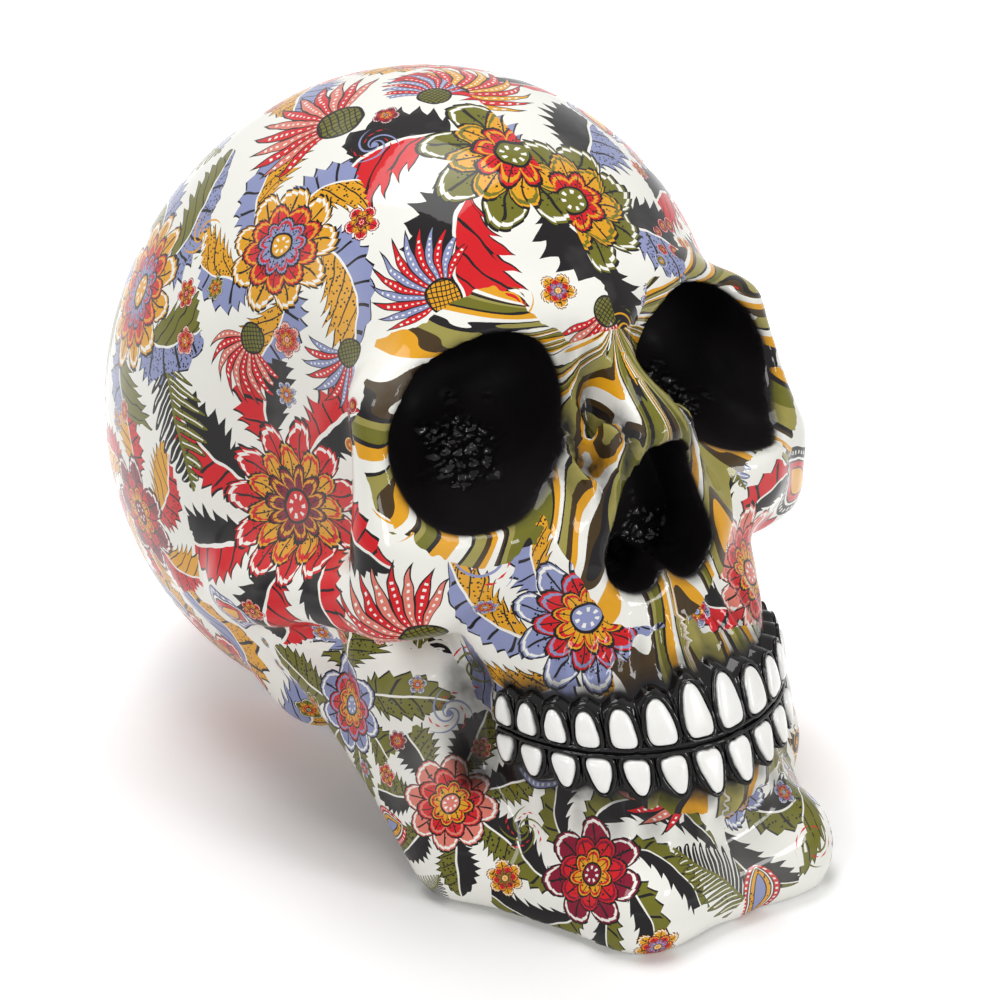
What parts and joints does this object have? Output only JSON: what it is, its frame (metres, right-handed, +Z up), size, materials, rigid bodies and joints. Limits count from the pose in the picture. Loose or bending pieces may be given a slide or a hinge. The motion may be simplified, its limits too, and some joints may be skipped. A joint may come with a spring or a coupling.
{
  "type": "decorative skull",
  "caption": "Near life-size resin sugar skull ornament with floral print, black eye sockets and nose, and white teeth set in black gum bands; stands on its jaw and base.",
  "frame": {"origin": "on the table the skull stands on, below the middle of its overall box", "axes": "+Z up, the face looks along -Y, +X is the skull's own left"},
  "size_m": [0.1259, 0.1969, 0.1463],
  "materials": {
    "printed_resin": "clear-coated print over white resin",
    "black_gum": "gloss black",
    "white_tooth": "gloss white",
    "resin_plate": "bare cast resin",
    "black_felt": "felt"
  },
  "bodies": {
    "root": {"cranium": "printed_resin", "lower_jaw": "printed_resin", "upper_gum": "black_gum", "lower_gum": "black_gum", "upper_left_central_incisor": "white_tooth", "upper_left_lateral_incisor": "white_tooth", "upper_left_canine": "white_tooth", "upper_left_first_premolar": "white_tooth", "upper_left_second_premolar": "white_tooth", "upper_left_first_molar": "white_tooth", "upper_left_second_molar": "white_tooth", "upper_right_central_incisor": "white_tooth", "upper_right_lateral_incisor": "white_tooth", "upper_right_canine": "white_tooth", "upper_right_first_premolar": "white_tooth", "upper_right_second_premolar": "white_tooth", "upper_right_first_molar": "white_tooth", "upper_right_second_molar": "white_tooth", "lower_left_central_incisor": "white_tooth", "lower_left_lateral_incisor": "white_tooth", "lower_left_canine": "white_tooth", "lower_left_first_premolar": "white_tooth", "lower_left_second_premolar": "white_tooth", "lower_left_first_molar": "white_tooth", "lower_left_second_molar": "white_tooth", "lower_right_central_incisor": "white_tooth", "lower_right_lateral_incisor": "white_tooth", "lower_right_canine": "white_tooth", "lower_right_first_premolar": "white_tooth", "lower_right_second_premolar": "white_tooth", "lower_right_first_molar": "white_tooth", "lower_right_second_molar": "white_tooth", "base_plate": "resin_plate", "rear_felt_pad": "black_felt", "front_felt_pad_left": "black_felt", "front_felt_pad_right": "black_felt"}
  },
  "joints": []
}
